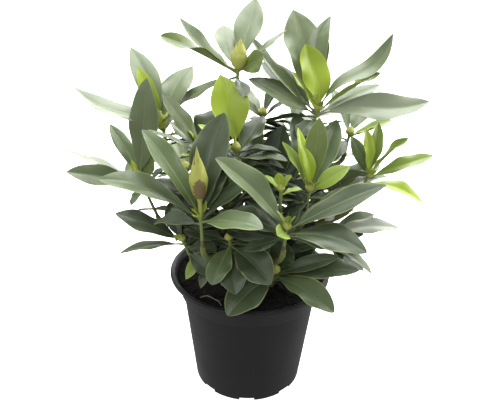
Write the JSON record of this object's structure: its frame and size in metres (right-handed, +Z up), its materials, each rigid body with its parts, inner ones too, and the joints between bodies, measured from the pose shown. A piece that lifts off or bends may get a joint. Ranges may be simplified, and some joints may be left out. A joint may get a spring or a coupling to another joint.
{
  "type": "potted rhododendron",
  "caption": "Bushy evergreen rhododendron with whorls of long leathery leaves and pointed buds on woody stems, standing in a round black nursery pot.",
  "frame": {"origin": "centre of the pot's flat underside, on the surface that it stands on", "axes": "+Z up the plant, -Y to the front that the picture shows, +X to its right"},
  "size_m": [0.4994, 0.3845, 0.5451],
  "materials": {
    "pot": "satin, moulded",
    "soil": "crumbly, moist",
    "bark": "rough",
    "leaves": "leathery, slight sheen"
  },
  "bodies": {
    "root": {"bough_back": "bark", "bough_back_far_right": "bark", "bough_back_high": "bark", "bough_back_high_left": "bark", "bough_back_left": "bark", "bough_back_low_left": "bark", "bough_back_low_right": "bark", "bough_back_right": "bark", "bough_back_top": "bark", "bough_centre_left": "bark", "bough_centre_right": "bark", "bough_front": "bark", "bough_heart": "bark", "bough_inner": "bark", "bough_inner_right": "bark", "bough_left": "bark", "bough_left_low": "bark", "bough_low": "bark", "bough_low_left": "bark", "bough_low_right": "bark", "bough_middle": "bark", "bough_middle_left": "bark", "bough_right": "bark", "bough_soil_left": "bark", "bough_top": "bark", "bough_tulip": "bark", "bough_up_left": "bark", "bough_upright": "bark", "foliage_back": "leaves", "foliage_back_far_right": "leaves", "foliage_back_high": "leaves", "foliage_back_high_left": "leaves", "foliage_back_left": "leaves", "foliage_back_low_left": "leaves", "foliage_back_low_right": "leaves", "foliage_back_right": "leaves", "foliage_back_top": "leaves", "foliage_centre_left": "leaves", "foliage_centre_right": "leaves", "foliage_front": "leaves", "foliage_heart": "leaves", "foliage_inner": "leaves", "foliage_inner_right": "leaves", "foliage_left": "leaves", "foliage_left_low": "leaves", "foliage_low": "leaves", "foliage_low_left": "leaves", "foliage_low_right": "leaves", "foliage_middle": "leaves", "foliage_middle_left": "leaves", "foliage_right": "leaves", "foliage_soil_left": "leaves", "foliage_top": "leaves", "foliage_tulip": "leaves", "foliage_up_left": "leaves", "foliage_upright": "leaves", "pot": "pot", "soil": "soil", "trunk": "bark"}
  },
  "joints": []
}
